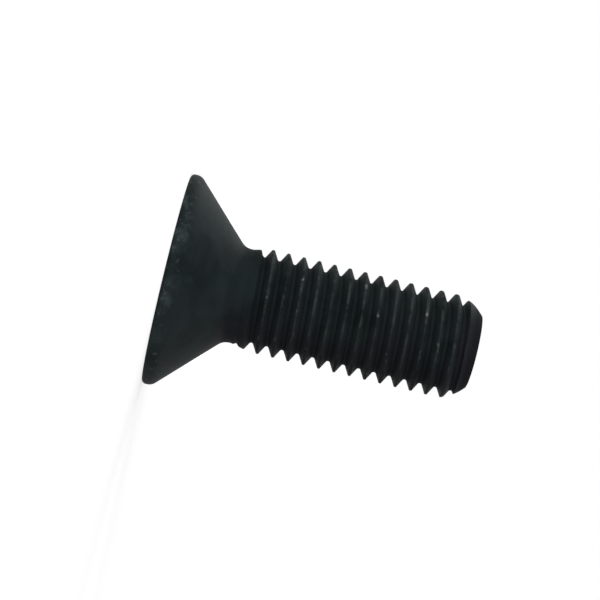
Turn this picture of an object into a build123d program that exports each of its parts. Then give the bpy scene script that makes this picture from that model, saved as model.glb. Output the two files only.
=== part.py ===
"""Countersunk head screw with a hexagon socket, M10 x 30: one forged and rolled piece of steel.

All lengths are in millimetres. The screw stands on the flat face of its head, which is at z = 0
and centred on the origin, with its tip up at z = length.
"""

import os
from math import ceil, cos, pi, radians, sin, sqrt, tan

from build123d import *

# Thread, metric coarse
thread_dia = 10.0
pitch = 1.5
thread_angle = 60.0
thread_hand = 1  # 1 is a right-hand thread, -1 a left-hand one
crest_flat = pitch / 8
root_flat = pitch / 6
last_crest_gap = 1.97  # from the end of the tip to the last full crest on the +X side

# Head
length = 30.0
head_dia = 20.44
head_land = 0.98  # height of the rim below the cone
cone_angle = 90.0
face_edge_chamfer = 0.3
under_head_round = 1.4

# Neck and run-out, between the head and the full thread
neck_step = 0.425  # how far the neck lies below the crests
neck_length = 0.775
neck_taper_angle = 13.0
runout_length = 1.2
runout_lift = 0.6  # how far the groove's root has risen by the end of the run-out

# Tip
lead_taper_length = 1.4
lead_taper_depth = 0.65
tip_chamfer = 0.8

# Hexagon socket
socket_flats = 6.0
socket_depth = 4.4  # of the flats
socket_drill_angle = 118.0
socket_mouth_bevel = 0.14  # width of the mouth's countersink at the hexagon's corners
socket_mouth_angle = 90.0

# The groove's cutters, each half a turn long
cutters_per_turn = 2
points_per_cutter = 9
cutter_overhang = 1.0  # how far they stand out of the thread

thread_radius = thread_dia / 2
head_radius = head_dia / 2
neck_radius = thread_radius - neck_step
cone_slope = tan(radians(cone_angle / 2))
cone_end = head_land + (head_radius - neck_radius) / cone_slope
neck_end = cone_end + neck_length
full_thread_start = neck_end + runout_length
flank_slope = tan(radians(thread_angle / 2))
groove_mouth = pitch - crest_flat
root_radius = thread_radius - (groove_mouth - root_flat) / 2 / flank_slope


def blank():
    """The forged blank, before its thread is rolled and its socket is punched."""
    taper_end = neck_end + neck_step / tan(radians(neck_taper_angle))
    chamfer_start = length - tip_chamfer
    chamfer_radius = thread_radius - lead_taper_depth
    corners = [
        (0, 0, 0),
        (head_radius - face_edge_chamfer, 0, 0),
        (head_radius, face_edge_chamfer, 0),
        (head_radius, head_land, 0),
        (neck_radius, cone_end, under_head_round),
        (neck_radius, neck_end, 0),
        (thread_radius, taper_end, 0),
        (thread_radius, chamfer_start - lead_taper_length, 0),
        (chamfer_radius, chamfer_start, 0),
        (chamfer_radius - tip_chamfer, length, 0),
        (0, length, 0),
    ]
    outline = FilletPolyline(*[(x, z) for x, z, _ in corners], radius=[r for _, _, r in corners[1:-1]])
    outline += Line(outline @ 1, outline @ 0)
    return revolve(Plane.XZ * make_face(outline), Axis.Z)


def groove_point(radius, offset, station):
    """A point of the groove's section, with the section at this station along the axis."""
    turns = (station - (length - last_crest_gap - pitch / 2)) / pitch
    angle = 2 * pi * thread_hand * turns
    reach = radius + max(0, full_thread_start - station) * runout_lift / runout_length
    return Vector(reach * cos(angle), reach * sin(angle), station + offset)


def groove_cutter(start, end):
    """The groove's cutter between two stations, its section swept along the helix."""
    reach = thread_radius + cutter_overhang
    half_mouth = groove_mouth / 2 + cutter_overhang * flank_slope
    section = [
        (reach, -half_mouth),
        (root_radius, -root_flat / 2),
        (root_radius, root_flat / 2),
        (reach, half_mouth),
    ]
    step = (end - start) / (points_per_cutter - 1)
    stations = [start + step * i for i in range(points_per_cutter)]
    edges = [Edge.make_spline([groove_point(r, z, s) for s in stations]) for r, z in section]
    walls = [Face.make_surface_from_curves(a, b) for a, b in zip(edges, edges[1:] + edges[:1])]
    ends = [Face(Wire.make_polygon([edge @ t for edge in edges], close=True)) for t in (0, 1)]
    return Solid(Shell(walls + ends))


def thread_grooves():
    """The cutters of the whole groove: the run-out, and then the full thread to past the tip."""
    cutters = [groove_cutter(neck_end, full_thread_start)]
    step = pitch / cutters_per_turn
    for i in range(ceil((length + groove_mouth / 2 - full_thread_start) / step)):
        start = full_thread_start + step * i
        cutters.append(groove_cutter(start, start + step))
    return cutters


def socket():
    """The punch of the socket: a hexagon with a drill-point end, and the countersink of its mouth."""
    corner_radius = socket_flats / sqrt(3)
    point = corner_radius / tan(radians(socket_drill_angle / 2))
    hexagon = RegularPolygon(socket_flats / 2, 6, major_radius=False)
    prism = extrude(Plane.XY * Rot(0, 0, 30) * hexagon, socket_depth + point)
    drill_side = [(0, 0), (corner_radius, 0), (corner_radius, socket_depth), (0, socket_depth + point)]
    drill = revolve(Plane.XZ * make_face(Polyline(*drill_side, close=True)), Axis.Z)
    mouth_radius = corner_radius + socket_mouth_bevel
    mouth = Cone(
        mouth_radius, 0, mouth_radius / tan(radians(socket_mouth_angle / 2)),
        align=(Align.CENTER, Align.CENTER, Align.MIN),
    )
    return (prism & drill) + mouth


screw = blank()
for cutter in thread_grooves():
    screw -= cutter
screw -= socket()

os.makedirs("parts", exist_ok=True)
export_step(screw, "parts/screw.step")
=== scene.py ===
"""The looks of the countersunk socket screw: blackened steel on a pale floor, in soft studio light."""

from math import ceil, cos, hypot, pi, radians, sin, sqrt, tan

import bmesh
import bpy
from mathutils import Matrix, Vector


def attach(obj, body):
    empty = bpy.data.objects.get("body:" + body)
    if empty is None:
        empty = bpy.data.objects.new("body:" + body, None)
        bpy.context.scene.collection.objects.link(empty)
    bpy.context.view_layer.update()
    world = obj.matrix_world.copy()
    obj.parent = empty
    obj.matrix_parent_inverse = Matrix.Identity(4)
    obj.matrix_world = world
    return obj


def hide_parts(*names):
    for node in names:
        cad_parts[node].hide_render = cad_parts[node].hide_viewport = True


mm = 0.001

# The screw about its own axis, in millimetres from the flat face of its head, and in degrees
length = 30.0
head_radius = 10.22
cone_sharp_radius = 11.2
neck_radius = 4.575
neck_end = 7.4
neck_taper_angle = 13.0
thread_radius = 5.0
root_radius = 4.08
pitch = 1.5
thread_angle = 60.0
thread_hand = 1
crest_flat = 0.19
crest_round = 0.07
root_round = 0.2165
last_crest_gap = 1.97
full_thread_start = 8.6
runout_length = 1.2
runout_lift = 0.6
end_face_radius = 3.55
tip_chamfer = 0.8
lead_taper_length = 1.4
face_edge_round = 0.4
rim_round = 1.0
under_head_round = 1.4
socket_flats = 6.0
socket_depth = 4.4
socket_drill_angle = 118.0
socket_mouth_radius = 3.6

# How near each other two forms of the shank start to blend, in millimetres
neck_blend = 0.05
lead_blend = 0.1
chamfer_blend = 0.3
groove_blend = 0.03
runout_blend = 0.12

# How finely the mesh is made: counts, shares of the way, millimetres and degrees
columns = 192
rim_steps = 6
under_head_steps = 10
crest_steps = 3
flank_steps = 5
root_steps = 4
spare_turns = 2
socket_end_shares = (0.02, 0.25, 0.5, 0.75, 1)
socket_wall_shares = (0.25, 0.5, 0.75, 1)
face_rings = (5.0, 6.5, 8.0, 9.2)
end_face_rings = (2.8, 1.8, 0.8)
ring_spacing = 0.5
seam_inset = 0.1
merge_distance = 0.002
sharp_edge_angle = 32
angles = [2 * pi * k / columns for k in range(columns)]

# Colours, as linear red, green and blue
oxide_dark = (0.0050, 0.0077, 0.0081)
oxide_light = (0.0119, 0.0171, 0.0176)
oxide_purple = (0.0098, 0.0096, 0.0117)
# painted shade for the thread's roots and run-out
painted_groove_shade = (0.0062, 0.0084, 0.0089)
crest_rubbed = (0.018, 0.0225, 0.023)
rim_scuff = (0.050, 0.062, 0.063)
bare_steel = (0.08, 0.087, 0.087)
gloss_tint = (0.88, 1.0, 1.0)
floor_dark = (0.86, 0.86, 0.86)
floor_light = (0.9, 0.9, 0.9)

# Where the finish changes, in millimetres: across the screw, along it, and inwards from crests and rim
# towards -x, the side the lamps light, the wear grows, partly as painted highlight
wear_and_light_none_x = 4.0
wear_and_light_full_x = -3.0
shank_from = 5.4
shank_full = 6.8
# painted shade: where it fades in the run-out, and how far under the crests it starts
runout_shade_full = 8.2
runout_shade_end = 9.0
end_face_skin = 0.01
shade_from = 0.15
crest_wear_from = 0.16
crest_wear_full = 0.02
rim_wear_from = 0.7
rim_wear_full = 0.1
chips_from = 0.5
chips_full = 0.05

# Amounts in the finish, from 0 to 1, and the growth of its purple tint a metre towards +x
# the least share of wear and its painted highlight, on the side away from the lamps
least_wear_and_light = 0.25
purple_least = 0.15
purple_on_shank = 0.7
purple_drift = 34.0
# how strongly painted shade darkens the run-out and the roots
runout_shade = 0.9
shade_cover = 0.6
scuff_cover = 0.75
chip_cover = 0.25
# gloss taken from the roots under the painted shade
shaded_root_dullness = 0.85
crest_dullness = 0.85
rim_dullness = 0.35
oxide_gloss = 0.07
roughness_least = 0.45
roughness_of_patches = 0.25
roughness_of_grain = 0.16

# Light: strengths where 1 is white, lengths in metres
world_strength = 0.19
near_lift = 0.62
far_lift = 0.86
near_distance = 0.05
far_distance = 0.4
floor_size = 6.0
lamp_aim = (0, 0, 0.013)

# The camera: pixels of the picture, millimetres and degrees, clips in metres
picture_width = 600
focal_length = 2079.72
sensor_width = 36
camera_place = (-14.547, -197.273, 7.349)
camera_aim = (-0.954, 0, 12.796)
axis_slope = 13.628
clip_start = 0.01
clip_end = 10


def arc_corner(before, corner, after, radius, steps):
    """Points of the round that takes a corner's place."""
    corner = Vector(corner)
    a = (Vector(before) - corner).normalized()
    b = (Vector(after) - corner).normalized()
    half = a.angle(b) / 2
    reach = radius / tan(half)
    centre = corner + (a + b).normalized() * (radius / sin(half))
    start = corner + a * reach - centre
    end = corner + b * reach - centre
    sweep = start.angle(end)
    points = []
    for i in range(steps + 1):
        t = i / steps
        spoke = (start * sin((1 - t) * sweep) + end * sin(t * sweep)) / sin(sweep)
        points.append(centre + spoke)
    return points


def divided(points):
    """The same points, with more between those that lie farther apart than the ring spacing."""
    full = []
    for (r1, z1), (r2, z2) in zip(points, points[1:]):
        pieces = ceil(hypot(r2 - r1, z2 - z1) / ring_spacing)
        for i in range(pieces):
            t = i / pieces
            full.append((r1 + (r2 - r1) * t, z1 + (z2 - z1) * t))
    return full + [points[-1]]


def head_outline():
    """(radius, station) points from the flat face, past the rim and down the cone, to the neck."""
    # the cone is 90 degrees, so its radius shrinks as much as its station grows
    rim_end = cone_sharp_radius - head_radius
    cone_end = cone_sharp_radius - neck_radius
    corners = [
        ((head_radius, 0), face_edge_round, rim_steps),
        ((head_radius, rim_end), rim_round, rim_steps),
        ((neck_radius, cone_end), under_head_round, under_head_steps),
    ]
    stops = [(socket_mouth_radius, 0)] + [corner for corner, _, _ in corners] + [(neck_radius, neck_end)]
    points = []
    for i, (corner, radius, steps) in enumerate(corners):
        points += arc_corner(stops[i], corner, stops[i + 2], radius, steps)
    return divided([(p.x, p.y) for p in points]) + [(neck_radius, neck_end - seam_inset)]


def hexagon(angle):
    """Radius of the socket's walls at this angle."""
    sector = (angle + pi / 6) % (pi / 3) - pi / 6
    return socket_flats / 2 / cos(sector)


def drill_station(radius):
    """Station of the socket's coned end, which meets the corners of the walls at the socket's depth."""
    drill = tan(radians(socket_drill_angle / 2))
    corner = socket_flats / sqrt(3)
    return socket_depth + corner / drill - radius / drill


def socket_rings():
    """Rings of (radius, angle, station) from near the middle of the socket's end to its mouth's bevel."""
    rings = []
    for share in socket_end_shares:
        rings.append([(hexagon(a) * share, a, drill_station(hexagon(a) * share)) for a in angles])
    for share in socket_wall_shares:
        ring = []
        for a in angles:
            bevel_station = socket_mouth_radius - hexagon(a)
            ring.append((hexagon(a), a, (1 - share) * drill_station(hexagon(a)) + share * bevel_station))
        rings.append(ring)
    return rings


def level_ring(radius, station):
    """A round ring of (radius, angle, station)."""
    return [(radius, a, station) for a in angles]


def soft_min(a, b, width):
    """The smaller of two numbers, blended where they are nearer each other than this width."""
    h = max(width - abs(a - b), 0) / width
    return min(a, b) - h * h * width / 4


def blank_radius(station):
    """Radius of the blank under the thread: the neck's taper, the shank, the lead taper and the chamfer."""
    neck_side = neck_radius + max(0, station - neck_end) * tan(radians(neck_taper_angle))
    lead = thread_radius - end_face_radius - tip_chamfer
    lead_start = length - tip_chamfer - lead_taper_length
    lead_side = thread_radius - (station - lead_start) * lead / lead_taper_length
    chamfer_side = end_face_radius + (length - station)
    r = soft_min(thread_radius, neck_side, neck_blend)
    r = soft_min(r, lead_side, lead_blend)
    return soft_min(r, chamfer_side, chamfer_blend)


def section_points():
    """(offset, radius) of the thread's section over one pitch, from a crest's middle to the next."""
    half = radians(thread_angle / 2)
    sweep = pi / 2 - half
    crest_edge = crest_flat / 2 - crest_round * tan(sweep / 2)
    root_centre = root_radius + root_round
    # half a crest with its round, the flank, and half the root with its round
    points = [(0, thread_radius), (crest_edge, thread_radius)]
    for i in range(1, crest_steps + 1):
        a = sweep * i / crest_steps
        points.append((crest_edge + crest_round * sin(a), thread_radius - crest_round * (1 - cos(a))))
    top = points[-1]
    foot = (pitch / 2 - root_round * cos(half), root_centre - root_round * sin(half))
    for i in range(1, flank_steps):
        t = i / flank_steps
        points.append((top[0] + (foot[0] - top[0]) * t, top[1] + (foot[1] - top[1]) * t))
    # the root's last step is twice as long as the others
    for i in range(root_steps - 1):
        a = sweep * (1 - i / root_steps)
        points.append((pitch / 2 - root_round * sin(a), root_centre - root_round * cos(a)))
    points.append((pitch / 2, root_radius))
    # the other half is its mirror image, up to the next crest's middle
    return points + [(pitch - offset, radius) for offset, radius in reversed(points[1:-1])]


def thread_rows(section):
    """Rows of (radius, angle, station) that follow the helix from the neck to the tip.

    Rows past the neck's seam or the end face fall onto the ring there, and the mesh merges them with it.
    """
    last_crest = length - last_crest_gap
    turns_down = ceil((last_crest - neck_end) / pitch) + spare_turns
    turns_up = ceil(last_crest_gap / pitch) + spare_turns
    rows = []
    for turn in range(-turns_down, turns_up):
        for offset, radius in section:
            row = []
            for k, angle in enumerate(angles):
                station = last_crest + turn * pitch + offset + thread_hand * pitch * k / columns
                rise = max(0, full_thread_start - station) * runout_lift / runout_length
                blend = groove_blend if station > full_thread_start else runout_blend
                z = min(max(station, neck_end - seam_inset), length)
                row.append((soft_min(radius + rise, blank_radius(z), blend), angle, z))
            rows.append(row)
    return rows


def grid_mesh():
    """The whole skin of the screw as vertices, in millimetres, and faces."""
    vertices, faces = [], []

    def add(points):
        """Adds points of (radius, angle, station) and returns the number of the first."""
        start = len(vertices)
        vertices.extend((r * cos(angle), r * sin(angle), z) for r, angle, z in points)
        return start

    def join(starts):
        """Adds faces between each ring and the next."""
        for a, b in zip(starts, starts[1:]):
            for k in range(columns):
                n = (k + 1) % columns
                faces.append((a + k, a + n, b + n, b + k))

    def close(start, station):
        """Adds faces from a ring to a point on the axis."""
        middle = add([(0, 0, station)])
        for k in range(columns):
            faces.append((start + k, start + (k + 1) % columns, middle))

    # socket and head
    rings = socket_rings()
    rings += [level_ring(r, 0) for r in (socket_mouth_radius, *face_rings)]
    rings += [level_ring(r, z) for r, z in head_outline()]
    starts = [add(ring) for ring in rings]
    close(starts[0], drill_station(0))
    join(starts)

    # thread: the last column of a row meets the first column of the row one turn further on
    section = section_points()
    starts = [add(row) for row in thread_rows(section)]
    edge = columns - 1
    for i in range(len(starts) - 1):
        a, b = starts[i], starts[i + 1]
        for k in range(edge):
            faces.append((a + k, a + k + 1, b + k + 1, b + k))
        j = i + thread_hand * len(section)
        if 0 <= j < len(starts) - 1:
            faces.append((a + edge, starts[j], starts[j + 1], b + edge))

    # end face
    starts = [add(level_ring(r, length)) for r in (blank_radius(length), *end_face_rings)]
    join(starts)
    close(starts[-1], length)
    return vertices, faces


def screw_mesh():
    """The skin as an object: its seams are merged, and it is smooth but for its sharp edges."""
    vertices, faces = grid_mesh()
    mesh = bpy.data.meshes.new("screw_skin")
    mesh.from_pydata([(x * mm, y * mm, z * mm) for x, y, z in vertices], [], faces)
    b = bmesh.new()
    b.from_mesh(mesh)
    bmesh.ops.remove_doubles(b, verts=b.verts, dist=merge_distance * mm)
    bmesh.ops.recalc_face_normals(b, faces=b.faces)
    b.to_mesh(mesh)
    b.free()
    mesh.shade_smooth()
    mesh.set_sharp_from_angle(angle=radians(sharp_edge_angle))
    skin = bpy.data.objects.new("screw_skin", mesh)
    bpy.context.scene.collection.objects.link(skin)
    return skin


def new_material(name):
    """A material, its node tree, its shader, and the place on the object that its patterns follow."""
    material = bpy.data.materials.new(name)
    material.use_nodes = True
    tree = material.node_tree
    place = tree.nodes.new("ShaderNodeTexCoord").outputs["Object"]
    return material, tree, tree.nodes["Principled BSDF"], place


def math_node(tree, operation, a, b=None, c=None, clamp=False):
    """A Math node on numbers or other nodes' outputs."""
    made = tree.nodes.new("ShaderNodeMath")
    made.operation = operation
    made.use_clamp = clamp
    for socket, value in zip(made.inputs, (a, b, c)):
        if isinstance(value, (int, float)):
            socket.default_value = value
        elif value is not None:
            tree.links.new(value, socket)
    return made.outputs[0]


def product(tree, first, *others):
    """Numbers or other nodes' outputs, multiplied from left to right."""
    for other in others:
        first = math_node(tree, "MULTIPLY", first, other)
    return first


def largest(tree, first, *others):
    """The largest of several numbers or other nodes' outputs."""
    for other in others:
        first = math_node(tree, "MAXIMUM", first, other)
    return first


def scaled(tree, value, factor, offset):
    """The value times the factor, plus the offset."""
    return math_node(tree, "MULTIPLY_ADD", value, factor, offset)


def noise(tree, place, scale, detail, roughness, distortion=0.0):
    """Noise of this scale in features per metre."""
    made = tree.nodes.new("ShaderNodeTexNoise")
    made.inputs["Scale"].default_value = scale
    made.inputs["Detail"].default_value = detail
    made.inputs["Roughness"].default_value = roughness
    made.inputs["Distortion"].default_value = distortion
    tree.links.new(place, made.inputs["Vector"])
    return made.outputs["Fac"]


def ramp(tree, value, zero_at, one_at):
    """A smooth step from 0 to 1 between two values, which may be in falling order."""
    made = tree.nodes.new("ShaderNodeMapRange")
    made.interpolation_type = "SMOOTHSTEP"
    made.inputs["From Min"].default_value = zero_at
    made.inputs["From Max"].default_value = one_at
    tree.links.new(value, made.inputs["Value"])
    return made.outputs["Result"]


def towards(tree, radius, rim, start, full):
    """A smooth step from 0 to 1 outwards, between two depths under the rim's radius, in millimetres."""
    return ramp(tree, radius, zero_at=(rim - start) * mm, one_at=(rim - full) * mm)


def bump(tree, height, strength, distance, normal=None):
    """Relief of this height in millimetres, on top of another relief if there is one."""
    made = tree.nodes.new("ShaderNodeBump")
    made.inputs["Strength"].default_value = strength
    made.inputs["Distance"].default_value = distance * mm
    tree.links.new(height, made.inputs["Height"])
    if normal:
        tree.links.new(normal, made.inputs["Normal"])
    return made.outputs["Normal"]


def mixed(tree, factor, a, b):
    """A colour between a and b, each a colour or another node's output."""
    made = tree.nodes.new("ShaderNodeMix")
    made.data_type = "RGBA"
    tree.links.new(factor, made.inputs["Factor"])
    for name, value in (("A", a), ("B", b)):
        socket = [i for i in made.inputs if i.name == name and i.type == "RGBA"][0]
        if isinstance(value, tuple):
            socket.default_value = (*value, 1)
        else:
            tree.links.new(value, socket)
    return [o for o in made.outputs if o.type == "RGBA"][0]


def black_steel():
    """Blackened steel: mottled oxide with painted shade in the grooves, rubbed thin on the crests and the
    rim, with more of that wear towards the lamps as painted highlight.
    """
    material, tree, shader, place = new_material("black_oxide_steel")
    parts = tree.nodes.new("ShaderNodeSeparateXYZ")
    tree.links.new(place, parts.inputs[0])
    x, y, z = parts.outputs
    radius = math_node(tree, "SQRT", math_node(tree, "ADD", product(tree, x, x), product(tree, y, y)))
    on_shank = ramp(tree, z, zero_at=shank_from * mm, one_at=shank_full * mm)

    # wear is stronger on one side, towards -x: partly real wear, partly painted highlight on the side the
    # lamps light
    wear_and_light_side = ramp(tree, x, zero_at=wear_and_light_none_x * mm, one_at=wear_and_light_full_x * mm)
    wear_and_light_side = scaled(tree, wear_and_light_side, 1 - least_wear_and_light, least_wear_and_light)

    # oxide, in patches of several sizes
    patches = noise(tree, place, scale=260, detail=5, roughness=0.6, distortion=0.6)
    grain = noise(tree, place, scale=2600, detail=3, roughness=0.6)
    colour = mixed(tree, ramp(tree, patches, zero_at=0.35, one_at=0.68), oxide_dark, oxide_light)

    # painted shade: darker in the thread's roots and run-out, but not on the end face
    depth = ramp(tree, radius, zero_at=root_radius * mm, one_at=(thread_radius - shade_from) * mm)
    off_end_face = math_node(tree, "LESS_THAN", z, (length - end_face_skin) * mm)
    painted_root_shade = product(tree, on_shank, off_end_face, math_node(tree, "SUBTRACT", 1.0, depth))
    near_neck = ramp(tree, z, zero_at=runout_shade_end * mm, one_at=runout_shade_full * mm)
    painted_shade = largest(tree, painted_root_shade, product(tree, on_shank, near_neck, runout_shade))
    colour = mixed(tree, product(tree, painted_shade, shade_cover), colour, painted_groove_shade)

    # a purple tint, more of it towards +x and on the shank
    drift = scaled(tree, x, purple_drift, noise(tree, place, scale=160, detail=2, roughness=0.5))
    purple = ramp(tree, drift, zero_at=0.4, one_at=0.62)
    purple = product(tree, purple, scaled(tree, on_shank, purple_on_shank, purple_least))
    colour = mixed(tree, purple, colour, oxide_purple)

    # crests: rubbed thin in places, with a few bright specks, both more on the lamps' side as painted
    # highlight
    crest = towards(tree, radius, thread_radius, start=crest_wear_from, full=crest_wear_full)
    crest = product(tree, crest, math_node(tree, "GREATER_THAN", z, neck_end * mm))
    rubbing = noise(tree, place, scale=420, detail=5, roughness=0.7)
    worn_and_lit = product(tree, crest, ramp(tree, rubbing, zero_at=0.42, one_at=0.62), wear_and_light_side)
    colour = mixed(tree, worn_and_lit, colour, crest_rubbed)
    specks = noise(tree, place, scale=900, detail=2, roughness=0.5)
    bright = product(tree, crest, ramp(tree, specks, zero_at=0.61, one_at=0.78), wear_and_light_side)

    # head: scuffs and small chips along its rim, the scuffs more on the lamps' side as painted highlight
    rim = towards(tree, radius, head_radius, start=rim_wear_from, full=rim_wear_full)
    scuffs = noise(tree, place, scale=700, detail=5, roughness=0.7, distortion=0.4)
    stretches = noise(tree, place, scale=130, detail=1, roughness=0.5)
    scuffed_and_lit = product(tree, rim, ramp(tree, scuffs, zero_at=0.45, one_at=0.7))
    scuffed_and_lit = product(tree, scuffed_and_lit, ramp(tree, stretches, zero_at=0.3, one_at=0.55), wear_and_light_side)
    colour = mixed(tree, product(tree, scuffed_and_lit, scuff_cover), colour, rim_scuff)
    edge = towards(tree, radius, head_radius, start=chips_from, full=chips_full)
    chips = noise(tree, place, scale=1500, detail=2, roughness=0.5)
    chipped = product(tree, edge, ramp(tree, chips, zero_at=0.6, one_at=0.72))
    bright = largest(tree, bright, product(tree, chipped, chip_cover))
    colour = mixed(tree, bright, colour, bare_steel)
    tree.links.new(colour, shader.inputs["Base Color"])
    tree.links.new(bright, shader.inputs["Metallic"])

    # gloss: less in the shaded roots, and on crests and rim where they aren't worn
    roughness = scaled(tree, patches, roughness_of_patches, roughness_least)
    roughness = scaled(tree, grain, roughness_of_grain, roughness)
    tree.links.new(roughness, shader.inputs["Roughness"])
    dull_shaded_roots = product(tree, painted_shade, painted_shade, shaded_root_dullness)
    dull_crest = product(tree, math_node(tree, "SUBTRACT", crest, worn_and_lit, clamp=True), crest_dullness)
    dull_rim = product(tree, math_node(tree, "SUBTRACT", rim, scuffed_and_lit, clamp=True), rim_dullness)
    dull = largest(tree, dull_shaded_roots, dull_crest, dull_rim)
    gloss = product(tree, math_node(tree, "SUBTRACT", 1.0, dull), oxide_gloss)
    tree.links.new(gloss, shader.inputs["Specular IOR Level"])
    shader.inputs["Specular Tint"].default_value = (*gloss_tint, 1)

    # relief
    fine = bump(tree, grain, strength=0.35, distance=0.03)
    relief = bump(tree, patches, strength=0.6, distance=0.08, normal=fine)
    tree.links.new(relief, shader.inputs["Normal"])
    return material


def white_rays(tree):
    """1 for the rays that see the white background: the camera's, and the glossy and transmitted ones."""
    path = tree.nodes.new("ShaderNodeLightPath")
    kinds = ("Is Camera Ray", "Is Glossy Ray", "Is Transmission Ray")
    return largest(tree, *[path.outputs[kind] for kind in kinds])


def floor():
    """A pale floor that shows white to the camera and keeps the screw's shadow."""
    bpy.ops.mesh.primitive_plane_add(size=floor_size)
    plane = bpy.context.object
    plane.name = "floor"
    material, tree, shader, place = new_material("pale_floor")
    speckle = noise(tree, place, scale=300, detail=4, roughness=0.6)
    tree.links.new(mixed(tree, speckle, floor_dark, floor_light), shader.inputs["Base Color"])
    shader.inputs["Roughness"].default_value = 0.9
    shader.inputs["Specular IOR Level"].default_value = 0.1
    # lifted less near the screw, where the lamps light the floor and its shadow falls
    away = tree.nodes.new("ShaderNodeVectorMath")
    away.operation = "LENGTH"
    tree.links.new(place, away.inputs[0])
    far = ramp(tree, away.outputs["Value"], zero_at=near_distance, one_at=far_distance)
    lift = scaled(tree, far, far_lift - near_lift, near_lift)
    shader.inputs["Emission Color"].default_value = (1, 1, 1, 1)
    tree.links.new(product(tree, white_rays(tree), lift), shader.inputs["Emission Strength"])
    plane.data.materials.append(material)


def camera():
    """A camera beside the screw, rolled so that the screw's axis slopes down to the right."""
    data = bpy.data.cameras.new("camera")
    data.sensor_width = sensor_width
    data.lens = focal_length * sensor_width / picture_width
    data.clip_start = clip_start
    data.clip_end = clip_end
    cam = bpy.data.objects.new("camera", data)
    bpy.context.scene.collection.objects.link(cam)
    bpy.context.scene.camera = cam
    place = Vector(camera_place) * mm
    forward = (Vector(camera_aim) * mm - place).normalized()
    slope = radians(axis_slope)
    right = forward.cross(Vector((-cos(slope), 0, -sin(slope)))).normalized()
    up = right.cross(forward)
    turn = Matrix((right, up, -forward)).transposed().to_4x4()
    cam.matrix_world = Matrix.Translation(place) @ turn


def studio():
    """An even pale world, which the camera sees as white."""
    world = bpy.data.worlds.new("studio")
    bpy.context.scene.world = world
    world.use_nodes = True
    tree = world.node_tree
    shader = tree.nodes["Background"]
    shader.inputs["Color"].default_value = (1, 1, 1, 1)
    strength = scaled(tree, white_rays(tree), 1 - world_strength, world_strength)
    tree.links.new(strength, shader.inputs["Strength"])


def area_light(name, place, width, height, power):
    """A rectangular lamp that faces the screw, in metres and watts."""
    data = bpy.data.lights.new(name, "AREA")
    data.shape = "RECTANGLE"
    data.size = width
    data.size_y = height
    data.energy = power
    lamp = bpy.data.objects.new(name, data)
    bpy.context.scene.collection.objects.link(lamp)
    lamp.location = place
    lamp.rotation_euler = (Vector(lamp_aim) - Vector(place)).to_track_quat("-Z", "Y").to_euler()


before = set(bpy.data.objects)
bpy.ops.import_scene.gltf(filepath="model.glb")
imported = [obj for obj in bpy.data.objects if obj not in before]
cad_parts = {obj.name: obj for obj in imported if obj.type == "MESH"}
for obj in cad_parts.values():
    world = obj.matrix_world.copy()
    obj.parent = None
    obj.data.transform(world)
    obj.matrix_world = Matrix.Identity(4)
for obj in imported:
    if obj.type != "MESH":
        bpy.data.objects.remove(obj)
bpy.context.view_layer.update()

skin = screw_mesh()
skin.data.materials.append(black_steel())
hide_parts("screw")
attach(skin, "root")

floor()
camera()
studio()
area_light("key", place=(-0.45, -0.22, 0.07), width=0.45, height=0.1, power=1.5)
area_light("rim", place=(-0.36, 0.38, 0.22), width=0.35, height=0.25, power=0.85)
area_light("fill", place=(-0.02, -0.5, 0.05), width=0.6, height=0.08, power=2.4)
bpy.context.scene.view_settings.view_transform = "Standard"
